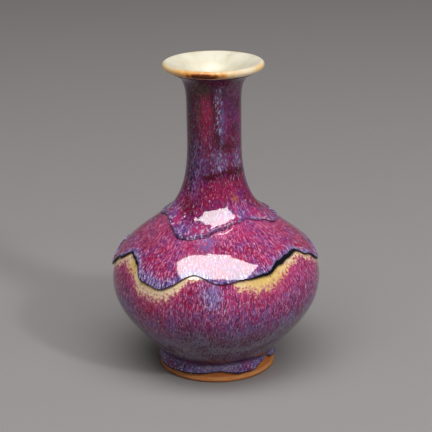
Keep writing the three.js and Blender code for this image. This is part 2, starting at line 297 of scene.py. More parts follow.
def finishPiece(bm, name, material, node):
    bmesh.ops.recalc_face_normals(bm, faces=bm.faces[:])
    for face in bm.faces:
        face.smooth = True
    piece = addMesh(name, bm, material)
    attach(piece, "root")
    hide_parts(node)
    print("made", name, len(piece.data.polygons), "faces")
    return piece


def coatPiece(name, section, extras, material, node):
    # extras are attributes that change round the vase, as (angle, amount) points
    columns = coatSizes["columns"]
    angles = [360 * column / columns for column in range(columns)]
    sections = [section(angle) for angle in angles]
    bm, rowLayer = ringOfRows(len(sections[0][0]), columns, True)
    layers = {key: bm.verts.layers.float.new(key) for key in ("skin", "run", *extras)}
    values = [{key: eased(points, angle) for key, points in extras.items()} for angle in angles]
    for vert in bm.verts:
        angle = math.degrees(math.atan2(vert.co.x, -vert.co.y)) % 360
        column = round(angle / 360 * columns) % columns
        row = vert[rowLayer]
        points, skin, run = sections[column]
        turn = math.radians(angles[column])
        vert[layers["skin"]] = float(skin[row])
        vert[layers["run"]] = float(run[row])
        for key, value in values[column].items():
            vert[layers[key]] = value
        r, z = points[row]
        vert.co = (r * math.sin(turn) * mm, -r * math.cos(turn) * mm, z * mm)
    return finishPiece(bm, name, material, node)


def turnedPiece(name, profile, columns, material, node, runs=None, wobble=None):
    # a profile spun round the axis; runs gives the run of each profile point, wobble a radial shift
    bm, rowLayer = ringOfRows(len(profile), columns, False)
    layer = bm.verts.layers.float.new("run")
    for vert in bm.verts:
        turn = math.atan2(vert.co.x, -vert.co.y)
        row = vert[rowLayer]
        r, z = profile[row]
        if wobble is not None and r > 0:
            r += wobble(math.degrees(turn), row)
        vert[layer] = float(runs[row]) if runs is not None else 0.0
        vert.co = (r * math.sin(turn) * mm, -r * math.cos(turn) * mm, z * mm)
    bmesh.ops.remove_doubles(bm, verts=bm.verts[:], dist=1e-7)
    return finishPiece(bm, name, material, node)


# Material helpers

def newNode(tree, kind, **settings):
    node = tree.nodes.new(kind)
    for key, value in settings.items():
        setattr(node, key, value)
    return node


def feed(tree, socket, value):
    if hasattr(value, "is_output"):
        tree.links.new(value, socket)
    else:
        socket.default_value = value


def calc(tree, operation, first, second=0.0):
    node = newNode(tree, "ShaderNodeMath", operation=operation)
    feed(tree, node.inputs[0], first)
    feed(tree, node.inputs[1], second)
    return node.outputs[0]


def ramp(tree, value, low, high, start=0.0, end=1.0):
    node = newNode(tree, "ShaderNodeMapRange", interpolation_type="SMOOTHSTEP")
    for socket, item in zip(node.inputs, (value, low, high, start, end)):
        feed(tree, socket, item)
    return node.outputs[0]


def tint(tree, share, first, second):
    node = newNode(tree, "ShaderNodeMix", data_type="RGBA")
    feed(tree, node.inputs[0], share)
    feed(tree, node.inputs[6], first)
    feed(tree, node.inputs[7], second)
    return node.outputs[2]


def attribute(tree, name):
    return newNode(tree, "ShaderNodeAttribute", attribute_name=name).outputs["Fac"]


def attributes(tree, *names):
    return [attribute(tree, name) for name in names]


def vectorMath(tree, operation, first, second=None, scale=None):
    node = newNode(tree, "ShaderNodeVectorMath", operation=operation)
    feed(tree, node.inputs[0], first)
    if second is not None:
        feed(tree, node.inputs[1], second)
    if scale is not None:
        feed(tree, node.inputs["Scale"], scale)
    return node.outputs["Value" if operation == "DISTANCE" else "Vector"]


def clouds(tree, vector, scale, detail=3.0, roughness=0.55, distortion=0.0, shift=None):
    if shift is not None:
        vector = vectorMath(tree, "ADD", vector, shift)
    node = newNode(tree, "ShaderNodeTexNoise", noise_dimensions="3D")
    feed(tree, node.inputs["Vector"], vector)
    settings = {"Scale": scale, "Detail": detail, "Roughness": roughness, "Distortion": distortion}
    for key, value in settings.items():
        feed(tree, node.inputs[key], value)
    return node.outputs["Fac"]


def newGroup(name, vectors, numbers, masks):
    tree = bpy.data.node_groups.new(name, "ShaderNodeTree")
    for side, kind, labels in (("INPUT", "NodeSocketVector", vectors), ("INPUT", "NodeSocketFloat", numbers),
                               ("OUTPUT", "NodeSocketFloat", masks)):
        for label in labels:
            tree.interface.new_socket(name=label, in_out=side, socket_type=kind)
    return tree, tree.nodes.new("NodeGroupInput").outputs, tree.nodes.new("NodeGroupOutput").inputs


def useGroup(tree, group, **values):
    node = newNode(tree, "ShaderNodeGroup", node_tree=group)
    for key, value in values.items():
        feed(tree, node.inputs[key], value)
    return node.outputs


def flatDirection(tree, position):
    flat = vectorMath(tree, "MULTIPLY", position, (1.0, 1.0, 0.0))
    return vectorMath(tree, "NORMALIZE", flat)


def flowPlace(tree, position, run, across, down):
    # place measured round the vase and down the run of the glaze
    ring = vectorMath(tree, "SCALE", flatDirection(tree, position), scale=across)
    along = newNode(tree, "ShaderNodeCombineXYZ")
    feed(tree, along.inputs["Z"], calc(tree, "MULTIPLY", run, down))
    return vectorMath(tree, "ADD", ring, along.outputs[0])


# Streaks that follow the run of the glaze: narrow round the vase, long down it. Shifts keep noises apart.
def makeStreakGroup():
    tree, given, out = newGroup("Glaze streaks", ("Position",), ("Run", "Across", "Down", "Wander"),
                                ("Streak", "Fine", "Fleck"))
    place = flowPlace(tree, given["Position"], given["Run"], given["Across"], given["Down"])
    feed(tree, out["Streak"], clouds(tree, place, 1.0, 3.0, 0.6, given["Wander"]))
    fine = vectorMath(tree, "SCALE", place, scale=2.1)
    feed(tree, out["Fine"], clouds(tree, fine, 1.0, 2.0, 0.6, given["Wander"], (17.0, 4.0, 9.0)))
    fleck = vectorMath(tree, "SCALE", place, scale=1.7)
    feed(tree, out["Fleck"], clouds(tree, fleck, 1.0, 1.0, 0.5, 0.2, (3.0, 31.0, 5.0)))
    return tree


# Broken grain of the glaze: light and dark specks about a millimetre across
def makeGrainGroup():
    tree, given, out = newGroup("Glaze grain", ("Position",), ("Run", "Across", "Down"),
                                ("Light", "Dark", "Rough"))
    place = flowPlace(tree, given["Position"], given["Run"], given["Across"], given["Down"])
    light = clouds(tree, place, 1.0, 2.0, 0.6, 0.3, (61.0, 12.0, 33.0))
    dark = clouds(tree, place, 1.0, 2.0, 0.6, 0.3, (7.0, 45.0, 21.0))
    feed(tree, out["Light"], ramp(tree, light, 0.52, 0.64))
    feed(tree, out["Dark"], ramp(tree, dark, 0.48, 0.6))
    feed(tree, out["Rough"], calc(tree, "SUBTRACT", dark, light))
    return tree


patchEdge = 0.95  # where a patch is half gone, as a share of its half width


# Patch at an angle and a run; Edge makes its outline ragged and Soft fades it
def makePatchGroup():
    tree, given, out = newGroup("Glaze patch", ("Position", "Towards"),
                                ("Run", "Edge", "Width", "Middle", "Height", "Soft"), ("Mask",))
    side = vectorMath(tree, "DISTANCE", flatDirection(tree, given["Position"]), given["Towards"])
    side = calc(tree, "POWER", calc(tree, "DIVIDE", side, given["Width"]), 2.0)
    rise = calc(tree, "DIVIDE", calc(tree, "SUBTRACT", given["Run"], given["Middle"]), given["Height"])
    rise = calc(tree, "POWER", calc(tree, "ABSOLUTE", rise), 2.0)
    away = calc(tree, "ADD", calc(tree, "SQRT", calc(tree, "ADD", side, rise)), given["Edge"])
    inside = calc(tree, "SUBTRACT", patchEdge, given["Soft"])
    outside = calc(tree, "ADD", patchEdge, given["Soft"])
    feed(tree, out["Mask"], ramp(tree, away, inside, outside, 1.0, 0.0))
    return tree


streakGroup = makeStreakGroup()
grainGroup = makeGrainGroup()
patchGroup = makePatchGroup()


def patchAt(tree, position, run, edge, angle, radius, width, middle, tall, soft):
    # width and tall are measured on the surface
    turn = math.radians(angle)
    return useGroup(tree, patchGroup, Position=position, Run=run, Edge=edge,
                    Towards=(math.sin(turn), -math.cos(turn), 0.0), Width=width / 2 / radius,
                    Middle=middle, Height=tall / 2, Soft=soft)["Mask"]


def patch(tree, position, run, edge, angle, height, width, tall, soft):
    middle = float(runAtHeight(height))
    return patchAt(tree, position, run, edge, angle, float(onForm(middle)[0]), width, middle, tall, soft)


def newMaterial(name):
    material = bpy.data.materials.new(name)
    material.use_nodes = True
    tree = material.node_tree
    tree.nodes.clear()
    shader = newNode(tree, "ShaderNodeBsdfPrincipled")
    output = newNode(tree, "ShaderNodeOutputMaterial")
    tree.links.new(shader.outputs["BSDF"], output.inputs["Surface"])
    position = newNode(tree, "ShaderNodeTexCoord").outputs["Object"]
    return material, tree, shader, position


def times(tree, first, second):
    return calc(tree, "MULTIPLY", first, second)


def plus(tree, value, *pairs):
    # adds each mask times its amount
    for mask, amount in pairs:
        value = calc(tree, "ADD", value, times(tree, mask, amount))
    return value


def centred(tree, value):
    return calc(tree, "SUBTRACT", value, 0.5)


def span(tree, value, start, full):
    # 0 to 1 from start to full, also where full is the smaller one
    if start > full:
        return ramp(tree, value, full, start, 1.0, 0.0)
    return ramp(tree, value, start, full)


def lay(tree, colour, over, mask, share=None):
    # lays a colour over another where the mask is
    return tint(tree, mask if share is None else times(tree, mask, share), colour, over)


def layer(tree, colour, over, value, limits):
    start, full, *share = limits
    return lay(tree, colour, over, span(tree, value, start, full), *share)


def grained(tree, colour, grain, dark, light, shares):
    colour = lay(tree, colour, dark, grain["Dark"], shares[0])
    return lay(tree, colour, light, grain["Light"], shares[1])


def brokenBy(tree, grain, level):
    # keeps the grain above a level, or below it where the level is negative
    step = 0.04 if level >= 0 else -0.04
    return span(tree, grain["Rough"], level - step, level + step)


def grainOf(tree, position, run, s):
    across, down = s["grain"]
    return useGroup(tree, grainGroup, Position=position, Run=run, Across=across, Down=down)


def glazeNoises(tree, position, run, s):
    # streaks, grain and the slow noises that every glaze coat is mixed by
    across, down, wander = s["streaks"]
    streaks = useGroup(tree, streakGroup, Position=position, Run=run, Across=across, Down=down,
                       Wander=wander)
    broad = clouds(tree, position, s["broadScale"])
    patches = clouds(tree, position, s["patchScale"], s["patchDetail"], shift=s["patchShift"])
    return streaks, grainOf(tree, position, run, s), broad, patches


def spotted(tree, colour, position, run, loose, grain, spots):
    # a spot: angle, height, width, tallness, share, softness, colour and level of grain that breaks it
    for angle, height, width, tall, share, soft, name, broken in spots:
        spot = patch(tree, position, run, loose, angle, height, width, tall, soft)
        if broken is not None:
            spot = times(tree, spot, brokenBy(tree, grain, broken))
        colour = lay(tree, colour, glazeColours[name], spot, share)
    return colour


def bumped(tree, height, distance, strength=1.0, normal=None):
    bump = newNode(tree, "ShaderNodeBump")
    bump.inputs["Strength"].default_value = strength
    bump.inputs["Distance"].default_value = distance
    feed(tree, bump.inputs["Height"], height)
    if normal is not None:
        feed(tree, bump.inputs["Normal"], normal)
    return bump.outputs["Normal"]


glossSizes = {
    "roughness": 0.035, "wornRoughness": 0.056, "ior": 1.4,
    "waveScale": 160.0, "waveDepth": 0.00003, "pitDepth": 0.000006,
}


def waved(tree, shader, position, colour, pitting):
    # slow waves and fine pits in the glaze
    feed(tree, shader.inputs["Base Color"], colour)
    shader.inputs["IOR"].default_value = glossSizes["ior"]
    waves = clouds(tree, position, glossSizes["waveScale"], 2.0)
    pits = bumped(tree, pitting, glossSizes["pitDepth"])
    feed(tree, shader.inputs["Normal"], bumped(tree, waves, glossSizes["waveDepth"], normal=pits))
    return waves


def glossy(tree, shader, position, colour, pitting):
    waves = waved(tree, shader, position, colour, pitting)
    roughness = ramp(tree, waves, 0.2, 0.8, glossSizes["roughness"], glossSizes["wornRoughness"])
    feed(tree, shader.inputs["Roughness"], roughness)


glazeColours = {
    "crimson": srgb(166, 22, 68), "raspberry": srgb(188, 46, 104), "magenta": srgb(140, 40, 112),
    "rose": srgb(224, 138, 182), "wine": srgb(112, 10, 46), "maroon": srgb(98, 12, 30),
    "garnet": srgb(76, 6, 26), "plum": srgb(72, 24, 58), "grape": srgb(86, 22, 72),
    "purple": srgb(106, 34, 120), "dusk": srgb(124, 74, 104), "violet": srgb(112, 82, 156),
    "lilac": srgb(206, 178, 214), "pale": srgb(222, 214, 240), "blue": srgb(120, 128, 196),
    "slate": srgb(94, 92, 152), "steel": srgb(128, 138, 168), "navy": srgb(30, 28, 62),
    "ink": srgb(10, 12, 22), "smokeAndShade": srgb(74, 46, 54), "haze": srgb(120, 118, 116),
    "mist": srgb(150, 134, 156), "cream": srgb(242, 216, 178), "yellow": srgb(222, 186, 92),
    "peach": srgb(224, 144, 130), "orange": srgb(214, 118, 62), "brown": srgb(82, 44, 34),
    "olive": srgb(78, 60, 42),
}

# A layer of colour says where it starts, where it is full and its share, if that isn't 1. Streaks and grain
# say their cells for each radian round the vase and for each mm of run, and streaks their wander.

shoulderFinish = {
    "streaks": (44.0, 0.5, 0.7), "grain": (64.0, 0.5), "grainShares": (0.8, 0.74),
    "broadScale": 70.0, "patchScale": 130.0, "patchDetail": 4.0, "patchShift": (0.3, 0.1, 0.7),
    "raspberry": (0.35, 0.65), "magenta": (0.48, 0.66, 0.75),
    "maroon": (0.56, 0.64, 0.45), "violet": (0.66, 0.82, 0.65), "flecks": (0.68, 0.75, 0.85),
    "fringe": (1.2, 0.4, 0.8), "fringeBlue": (0.4, 0.62), "fringeGrain": (0.95, 0.8), "ink": (0.35, -0.25),
    # the rose spot at 4 degrees and 74 mm is a painted highlight: the soft glow at the edge of the softbox's
    # reflection
    "spots": ((-9, 70.5, 9, 9, 0.7, 0.6, "blue", 0.0), (4, 74, 8, 8, 0.3, 0.8, "rose", None)),
}


def shoulderMaterial():
    c, s = glazeColours, shoulderFinish
    material, tree, shader, position = newMaterial("roseGlazeMaterial")
    run, skin, inkAndShadeWidth, bandWidth = attributes(tree, "run", "skin", "inkAndShadeWidth", "bandWidth")
    streaks, grain, broad, patches = glazeNoises(tree, position, run, s)
    rough = grain["Rough"]
    colour = layer(tree, c["crimson"], c["raspberry"], plus(tree, broad, (rough, 0.3)), s["raspberry"])
    colour = layer(tree, colour, c["magenta"], plus(tree, patches, (rough, 0.3)), s["magenta"])
    colour = layer(tree, colour, c["maroon"], streaks["Fine"], s["maroon"])
    veil = plus(tree, streaks["Streak"], (patches, 0.35), (rough, 0.35))
    colour = layer(tree, colour, c["violet"], veil, s["violet"])
    colour = grained(tree, colour, grain, c["grape"], c["rose"], s["grainShares"])
    colour = layer(tree, colour, c["pale"], streaks["Fleck"], s["flecks"])
    colour = spotted(tree, colour, position, run, times(tree, rough, 2.5), grain, s["spots"])
    # violet-blue fringe, and the black line at the ledge: the glaze's dark edge with painted shade under the
    # bead
    wobbly = plus(tree, skin, (centred(tree, streaks["Streak"]), 4.0), (rough, 5.0))
    fringe = layer(tree, c["violet"], c["blue"], streaks["Fine"], s["fringeBlue"])
    fringe = grained(tree, fringe, grain, c["navy"], c["pale"], s["fringeGrain"])
    colour = layer(tree, colour, fringe, calc(tree, "DIVIDE", wobbly, bandWidth), s["fringe"])
    ragged = plus(tree, skin, (centred(tree, streaks["Fine"]), 1.6), (rough, 1.2))
    colour = layer(tree, colour, c["ink"], calc(tree, "SUBTRACT", ragged, inkAndShadeWidth), s["ink"])
    glossy(tree, shader, position, colour, rough)
    return material


lowerFinish = {
    "streaks": (58.0, 0.26, 0.4), "grain": (84.0, 0.5), "grainShares": (0.8, 0.68),
    "broadScale": 60.0, "patchScale": 110.0, "patchDetail": 3.0, "patchShift": (0.5, 0.2, 0.1),
    "raspberry": (0.35, 0.65), "violet": (0.4, 0.62), "mauve": (6.0, 22.0, 0.8),
    "haze": (0.42, 0.58), "smokyShadedBelly": (18.0, 36.0, 0.85), "plum": (0.55, 0.64, 0.5),
    "veil": (0.6, 0.82, 0.5), "mist": (10.0, 30.0), "flecks": (0.66, 0.78), "fleckShares": (0.7, 0.2),
}
footFinish = {
    "grain": (34.0, 0.9), "grainShares": (0.75, 0.7), "share": 0.9, "reach": (12.0, 7.0),
    "creaseShadeBelow": (8.5, 11.5), "creaseShadeAbove": (19.0, 11.5), "creaseShadeShare": 0.7,
    "violet": (0.4, 0.6), "magenta": (0.5, 0.6, 0.8), "edge": (1.0, -0.5),
    "spots": (
        (-13, 11, 10, 6.5, 0.75, 0.5, "garnet", None), (-1, 6.8, 19, 4.2, 0.7, 0.4, "steel", 0.0),
        (17, 9, 8, 6, 0.6, 0.5, "steel", 0.0), (30, 8, 5, 8, 0.6, 0.5, "magenta", None),
        (-30, 9, 7, 5, 0.5, 0.5, "magenta", None), (-58, 7, 6, 4, 0.6, 0.5, "magenta", None),
        # the ink and navy lines at 12.2, 12 and 8.8 mm height are partly the lobes' dark edges and partly
        # painted shade along the crease
        (36, 12.2, 24, 2.0, 0.9, 0.5, "ink", None), (-44, 12, 18, 1.9, 0.8, 0.5, "navy", None),
        (-14, 8.8, 12, 1.2, 0.7, 0.5, "ink", None), (62, 8, 8, 8, 0.6, 0.5, "steel", 0.0),
        (0, 6.8, 20, 4.5, 0.7, 0.5, "lilac", 0.1), (0, 6.4, 20, 4.5, 0.7, 0.5, "navy", -0.1)),
}
haloFinish = {
    "present": (0.3, 1.5), "reach": (1.3, 0.5), "warmth": (2.4, 0.9), "warmShare": 0.5,
    "stippleScale": 760.0, "stipple": 16.0, "peach": (0.4, 1.1, 0.6), "golden": (0.46, 0.58, 0.0, 0.5),
    "sunnyRight": (31, 57, 30, 11, 0.5), "sunnyLeft": (-57, 59, 8, 13, 0.5), "sunnyShare": 0.9,
    "dotScale": 640.0, "dotSize": (0.3, 0.16), "dotsKept": 0.62, "dotShare": 0.85,
    "grainShares": (0.2, 0.5), "bluePatch": (-2, 52, 9, 11, 0.5), "blueShare": 0.65,
    "blueGrain": (0.7, 0.7), "rim": (1.1, 0.1, 0.55),
}


def footColour(tree, colour, position, run, skin, streaks, patches, rough):
    # painted shade in the crease over the foot, slate lobes with patches, and a dark line at the very edge,
    # partly painted shade under the glaze's roll
    c, s = glazeColours, footFinish
    # painted shade: plum darkening laid into the crease between body and foot
    crease = times(tree, span(tree, run, *s["creaseShadeBelow"]), span(tree, run, *s["creaseShadeAbove"]))
    colour = lay(tree, colour, c["plum"], crease, s["creaseShadeShare"])
    grain = grainOf(tree, position, run, s)
    lobes = plus(tree, streaks["Streak"], (grain["Rough"], 0.3))
    lobes = layer(tree, c["slate"], c["violet"], lobes, s["violet"])
    lobes = layer(tree, lobes, c["magenta"], plus(tree, patches, (grain["Rough"], 0.4)), s["magenta"])
    onFoot = span(tree, plus(tree, run, (centred(tree, streaks["Streak"]), 8.0)), *s["reach"])
    colour = lay(tree, colour, lobes, onFoot, s["share"])
    colour = spotted(tree, colour, position, run, times(tree, rough, 2.5), grain, s["spots"])
    speckled = grained(tree, colour, grain, c["ink"], c["lilac"], s["grainShares"])
    colour = lay(tree, colour, speckled, onFoot)
    # partly painted shade: the ink line at the foot glaze's lower edge is its dark rolled edge, darkened
    # further as the shade under the roll
    return layer(tree, colour, c["ink"], plus(tree, skin, (rough, 1.5)), s["edge"])


def haloColour(tree, colour, position, run, below, halo, streaks, patches, grain):
    # cream halo under the ledge, stippled out into the crimson; a maroon line just under the ledge is partly
    # painted shade of the overhang
    c, s, rough = glazeColours, haloFinish, grain["Rough"]
    loose = times(tree, rough, 2.5)
    stipple = centred(tree, clouds(tree, position, s["stippleScale"], 3.0, 0.7))
    uneven = centred(tree, streaks["Streak"])
    reach = plus(tree, below, (uneven, 2.0), (rough, 1.5), (stipple, s["stipple"]))
    share = calc(tree, "DIVIDE", reach, calc(tree, "MAXIMUM", halo, 0.01))
    present = span(tree, halo, *s["present"])
    warm = times(tree, span(tree, share, *s["warmth"]), present)
    colour = lay(tree, colour, tint(tree, stipple, c["raspberry"], c["peach"]), warm, s["warmShare"])
    sunny = calc(tree, "MAXIMUM", patch(tree, position, run, loose, *s["sunnyRight"]),
                 patch(tree, position, run, loose, *s["sunnyLeft"]))
    golden = calc(tree, "SUBTRACT", patches, times(tree, share, 0.3))
    golden = ramp(tree, golden, *s["golden"])
    sunny = calc(tree, "MAXIMUM", times(tree, sunny, s["sunnyShare"]), golden)
    creamy = tint(tree, sunny, c["cream"], c["yellow"])
    creamy = layer(tree, creamy, c["peach"], plus(tree, share, (stipple, 2.0)), s["peach"])
    dots = newNode(tree, "ShaderNodeTexVoronoi", feature="F1")
    feed(tree, dots.inputs["Vector"], position)
    dots.inputs["Scale"].default_value = s["dotScale"]
    chance = newNode(tree, "ShaderNodeSeparateColor")
    feed(tree, chance.inputs[0], dots.outputs["Color"])
    dotMask = times(tree, span(tree, dots.outputs["Distance"], *s["dotSize"]),
                    calc(tree, "GREATER_THAN", chance.outputs[0], s["dotsKept"]))
    creamy = lay(tree, creamy, c["brown"], dotMask, s["dotShare"])
    creamy = grained(tree, creamy, grain, c["garnet"], c["cream"], s["grainShares"])
    colour = lay(tree, colour, creamy, times(tree, span(tree, share, *s["reach"]), present))
    streaky = grained(tree, c["blue"], grain, c["navy"], c["pale"], s["blueGrain"])
    bluePatch = patch(tree, position, run, loose, *s["bluePatch"])
    colour = lay(tree, colour, streaky, bluePatch, s["blueShare"])
    # painted shade, partly: maroon darkening right under the ledge's overhang, over the glaze's own maroon
    return layer(tree, colour, c["maroon"], calc(tree, "ADD", below, rough), s["rim"])


def lowerMaterial():
    c, s = glazeColours, lowerFinish
    material, tree, shader, position = newMaterial("plumGlazeMaterial")
    run, skin, below, halo = attributes(tree, "run", "skin", "below", "haloWidth")
    streaks, grain, broad, patches = glazeNoises(tree, position, run, s)
    rough = grain["Rough"]
    depth = plus(tree, below, (centred(tree, streaks["Streak"]), 20.0), (rough, 6.0))
    colour = layer(tree, c["crimson"], c["raspberry"], plus(tree, broad, (rough, 0.3)), s["raspberry"])
    mauve = layer(tree, c["magenta"], c["violet"], patches, s["violet"])
    colour = layer(tree, colour, mauve, depth, s["mauve"])
    # darker smoky glaze low on the belly: partly its own grey tone, partly painted shade where the belly
    # turns under
    smokyShadedBelly = layer(tree, c["smokeAndShade"], c["haze"], patches, s["haze"])
    colour = layer(tree, colour, smokyShadedBelly, depth, s["smokyShadedBelly"])
    colour = layer(tree, colour, c["plum"], streaks["Fine"], s["plum"])
    veil = plus(tree, streaks["Streak"], (patches, 0.3), (rough, 0.25))
    colour = layer(tree, colour, tint(tree, patches, c["blue"], c["violet"]), veil, s["veil"])
    low = span(tree, depth, *s["mist"])
    light = tint(tree, low, c["rose"], c["mist"])
    colour = grained(tree, colour, grain, c["plum"], light, s["grainShares"])
    flecks = times(tree, span(tree, streaks["Fleck"], *s["flecks"]),
                   ramp(tree, low, 0.0, 1.0, *s["fleckShares"]))
    colour = tint(tree, flecks, colour, c["pale"])
    colour = footColour(tree, colour, position, run, skin, streaks, patches, rough)
    colour = haloColour(tree, colour, position, run, below, halo, streaks, patches, grain)
    glossy(tree, shader, position, colour, rough)
    return material


neckFinish = {
    "streaks": (26.0, 0.32, 0.4), "grain": (23.0, 0.5), "grainShares": (0.5, 0.13),
    "broadScale": 90.0, "patchScale": 150.0, "patchDetail": 3.0, "patchShift": (0.2, 0.6, 0.4),
    "looseScale": 420.0, "loose": 2.4,
    "plum": (0.38, 0.62), "magenta": (0.48, 0.62, 0.7), "rootMagenta": (0.4, 0.6), "rootShare": 0.7,
    "purple": (0.6, 0.8, 0.55), "grape": (0.52, 0.6, 0.65),
    "flecks": (0.64, 0.76), "fleckShares": (0.6, 0.15),
    "rootHeights": (101.0, 84.0), "smokyShadeHeights": (128.0, 142.0), "smokyShadeShare": 0.7,
    "fleckHeights": (101.0, 142.0),
    "tongue": (17.0, 8.0, 0.8), "tongueMix": (0.4, 0.6), "tongueGrain": (0.5, 0.55),
    "rim": (6.0, 1.8), "rimMix": (0.42, 0.58), "rimGrain": (0.85, 0.8), "edge": (0.2, -0.5, 0.55),
    "spots": (
        (-28, 118, 16, 46, 0.6, 0.6, "wine", None), (-62, 120, 13, 46, 0.6, 0.35, "plum", None),
        (-20, 132, 8, 14, 0.6, 0.7, "raspberry", None), (-18, 124, 6, 22, 0.5, 0.8, "crimson", None),
        (-24, 141, 10, 10, 0.85, 0.4, "olive", None), (-34, 131, 3, 14, 0.6, 0.5, "olive", None),
        (-18, 145.5, 8, 3.5, 0.85, 0.4, "brown", None), (16, 144, 11, 3.6, 0.85, 0.25, "maroon", None),
        (50, 140, 12, 9, 0.5, 0.6, "dusk", None), (7, 134, 3.4, 13, 0.75, 0.4, "blue", 0.05),
        (14, 123, 3.8, 17, 0.8, 0.4, "blue", 0.03), (10, 105, 6, 13, 0.5, 0.6, "blue", 0.0),
        (55, 105, 5, 13, 0.5, 0.6, "blue", 0.0), (-48, 101, 6, 20, 0.7, 0.5, "navy", 0.0),
        (-42, 102, 9, 26, 0.5, 0.5, "blue", -0.06), (-20, 104, 5, 14, 0.45, 0.6, "violet", 0.0),
        (8, 130, 3.2, 22, 0.8, 0.4, "pale", 0.1), (12, 105, 6, 14, 0.7, 0.5, "pale", 0.12),
        (56, 105, 5, 13, 0.6, 0.5, "pale", 0.12), (15, 92.5, 17, 10, 0.6, 0.5, "crimson", None),
        (34, 87.5, 4, 5, 0.5, 0.6, "orange", None), (-44, 82.5, 11, 8, 0.9, 0.4, "wine", None)),
    # dark lines of the run: angle, height, width, tallness and share
    "lineSoftness": 0.4, "lineColour": "garnet", "lines": (
        (-3, 136, 1.5, 9, 0.85), (2, 127, 1.6, 12, 0.85), (7, 117, 1.9, 10, 0.85),
        (24, 112.3, 7.0, 3.0, 0.8), (-12, 97.3, 6, 2.3, 0.9), (8, 98.8, 8, 2.4, 0.9),
        (31, 99.8, 9, 3.0, 0.95), (58, 99.4, 7, 2.8, 0.9)),
}


def neckMaterial():
    c, s = glazeColours, neckFinish
    material, tree, shader, position = newMaterial("neckGlazeMaterial")
    run, skin, rimShare = attributes(tree, "run", "skin", "rimShare")
    streaks, grain, broad, patches = glazeNoises(tree, position, run, s)
    rough = grain["Rough"]
    rootRuns, smokyShadeRuns, fleckRuns = (
        runAtHeight(s[key]).tolist() for key in ("rootHeights", "smokyShadeHeights", "fleckHeights"))
    colour = layer(tree, c["wine"], c["plum"], broad, s["plum"])
    colour = layer(tree, colour, c["magenta"], plus(tree, patches, (rough, 0.3)), s["magenta"])
    # bright crimson at the root; a darker smoky plum under the lip, partly the glaze's duller tone and
    # partly painted shade under the flaring lip
    root = span(tree, plus(tree, run, (rough, 10.0)), *rootRuns)
    bright = layer(tree, c["crimson"], c["magenta"], plus(tree, patches, (rough, 0.5)), s["rootMagenta"])
    colour = lay(tree, colour, bright, root, s["rootShare"])
    colour = lay(tree, colour, c["smokeAndShade"], span(tree, run, *smokyShadeRuns), s["smokyShadeShare"])
    veil = plus(tree, streaks["Streak"], (patches, 0.3), (rough, 0.3))
    colour = layer(tree, colour, c["purple"], veil, s["purple"])
    colour = layer(tree, colour, c["grape"], streaks["Fine"], s["grape"])
    loose = times(tree, centred(tree, clouds(tree, position, s["looseScale"], 3.0)), s["loose"])
    colour = spotted(tree, colour, position, run, loose, grain, s["spots"])
    light = tint(tree, root, c["lilac"], c["rose"])
    colour = grained(tree, colour, grain, c["ink"], light, s["grainShares"])
    flecks = times(tree, span(tree, streaks["Fleck"], *s["flecks"]),
                   ramp(tree, run, *fleckRuns, *s["fleckShares"]))
    colour = tint(tree, flecks, colour, c["pale"])
    lines = [line + (s["lineSoftness"], s["lineColour"], None) for line in s["lines"]]
    colour = spotted(tree, colour, position, run, plus(tree, loose, (rough, 3.0)), grain, lines)
    # tongue on the shoulder: mauve, with a granular violet-blue edge
    tongue = plus(tree, skin, (streaks["Streak"], 8.0), (rough, 6.0))
    mauve = layer(tree, c["violet"], c["raspberry"], patches, s["tongueMix"])
    mauve = grained(tree, mauve, grain, c["grape"], c["lilac"], s["tongueGrain"])
    colour = layer(tree, colour, mauve, tongue, s["tongue"])
    rim = span(tree, plus(tree, skin, (streaks["Fine"], 3.0), (rough, 6.0)), *s["rim"])
    speckled = layer(tree, c["dusk"], c["violet"], streaks["Fine"], s["rimMix"])
    speckled = grained(tree, speckled, grain, c["navy"], c["pale"], s["rimGrain"])
    colour = lay(tree, colour, speckled, rim, rimShare)
    # painted shade: a maroon line along the tongue's lower edge, where shade falls under its bead
    colour = layer(tree, colour, c["maroon"], plus(tree, skin, (rough, 1.6)), s["edge"])
    glossy(tree, shader, position, colour, rough)
    return material


creamFinish = {
    "roughness": 0.28, "specular": 0.18, "softScale": 90.0, "fineScale": 500.0, "smudgeScale": 200.0,
    "light": srgb(231, 225, 206), "shade": srgb(216, 208, 182), "shading": (0.35, 0.7),
    "smudge": srgb(150, 148, 120), "smudges": (0.6, 0.74, 0.22),
    "edge": srgb(240, 208, 146), "edgeShare": 0.3,
    # stains on the lip: angle, width, place round the lip, tallness, share, softness, colour
    "stains": (
        (-18, 34, 2.4, 4.8, 0.8, 0.5, srgb(240, 176, 84)),
        (-13, 21, 2.7, 3.0, 0.8, 0.5, srgb(206, 116, 40)),
        (-12, 16, 3.1, 2.4, 0.95, 0.35, srgb(84, 36, 16)),
        (66, 13, 2.2, 3.6, 0.6, 0.6, srgb(240, 190, 104)),
        (-74, 10, 2.2, 3.6, 0.5, 0.6, srgb(236, 192, 120)),
        (150, 18, 2.4, 4.0, 0.6, 0.5, srgb(214, 150, 78))),
}


